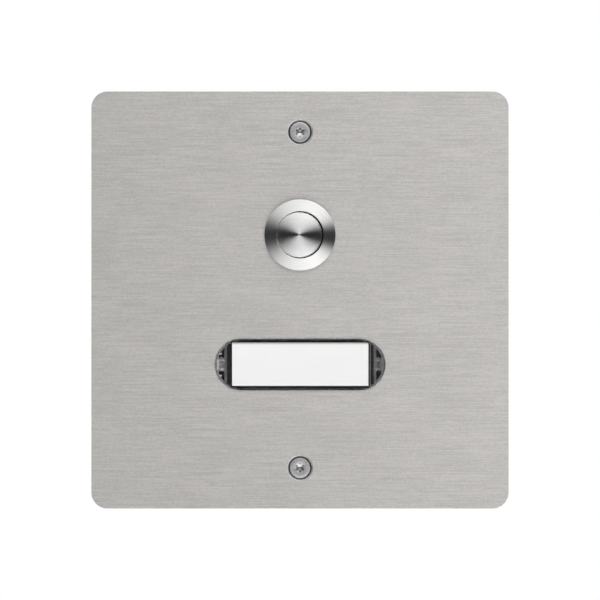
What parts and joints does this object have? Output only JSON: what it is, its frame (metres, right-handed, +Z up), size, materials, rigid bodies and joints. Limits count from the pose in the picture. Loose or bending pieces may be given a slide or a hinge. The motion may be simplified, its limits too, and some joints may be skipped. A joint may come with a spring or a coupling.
{
  "type": "doorbell push button",
  "caption": "Flush square stainless doorbell plate with a sealed sprung push button above a clear-fronted blank name card, fixed by countersunk screws above and below.",
  "frame": {"origin": "centre of the plate's back face, midway between the two fixing screws", "axes": "+Z up the wall, +X to the right as the plate is seen, the front faces -Y and the screws point along +Y into the wall"},
  "size_m": [0.12, 0.0249, 0.12],
  "materials": {
    "brushed_plate": "stainless sheet brushed from side to side, plain on the back",
    "turned_steel": "stainless steel turned and brushed in circles",
    "screw_steel": "plain stainless screw",
    "plated_steel": "nickel-plated steel",
    "spring_steel": "drawn wire and pressed spring steel",
    "contact_brass": "turned brass",
    "black_rubber": "matt moulded rubber",
    "black_plastic": "fine-grained moulding",
    "white_plastic": "smooth moulding",
    "clear_plastic": "clear moulding",
    "white_card": "uncoated white card"
  },
  "bodies": {
    "door_plate": {"front_plate": "brushed_plate", "fixing_screws": "screw_steel", "button_housing": "turned_steel", "flange_seal": "black_rubber", "lock_washer": "plated_steel", "lock_nut": "plated_steel", "return_spring": "spring_steel", "switch_base": "black_plastic", "terminal_post_left": "contact_brass", "terminal_post_right": "contact_brass", "clamp_plates": "plated_steel", "terminal_screws": "plated_steel", "nameplate_window": "clear_plastic", "name_card": "white_card", "nameplate_holder": "black_plastic"},
    "push_button": {"push_cap": "turned_steel", "cap_seal": "black_rubber", "retaining_clip": "spring_steel", "plunger": "white_plastic", "contact_bridge": "contact_brass"}
  },
  "joints": [
    {"name": "button_press", "type": "slide", "parent": "door_plate", "child": "push_button", "axis": [0, 1, 0], "range_m": [0, 0.0012], "stiffness_N_per_m": 1000, "springref_m": -0.002, "deforming": ["return_spring"]}
  ]
}
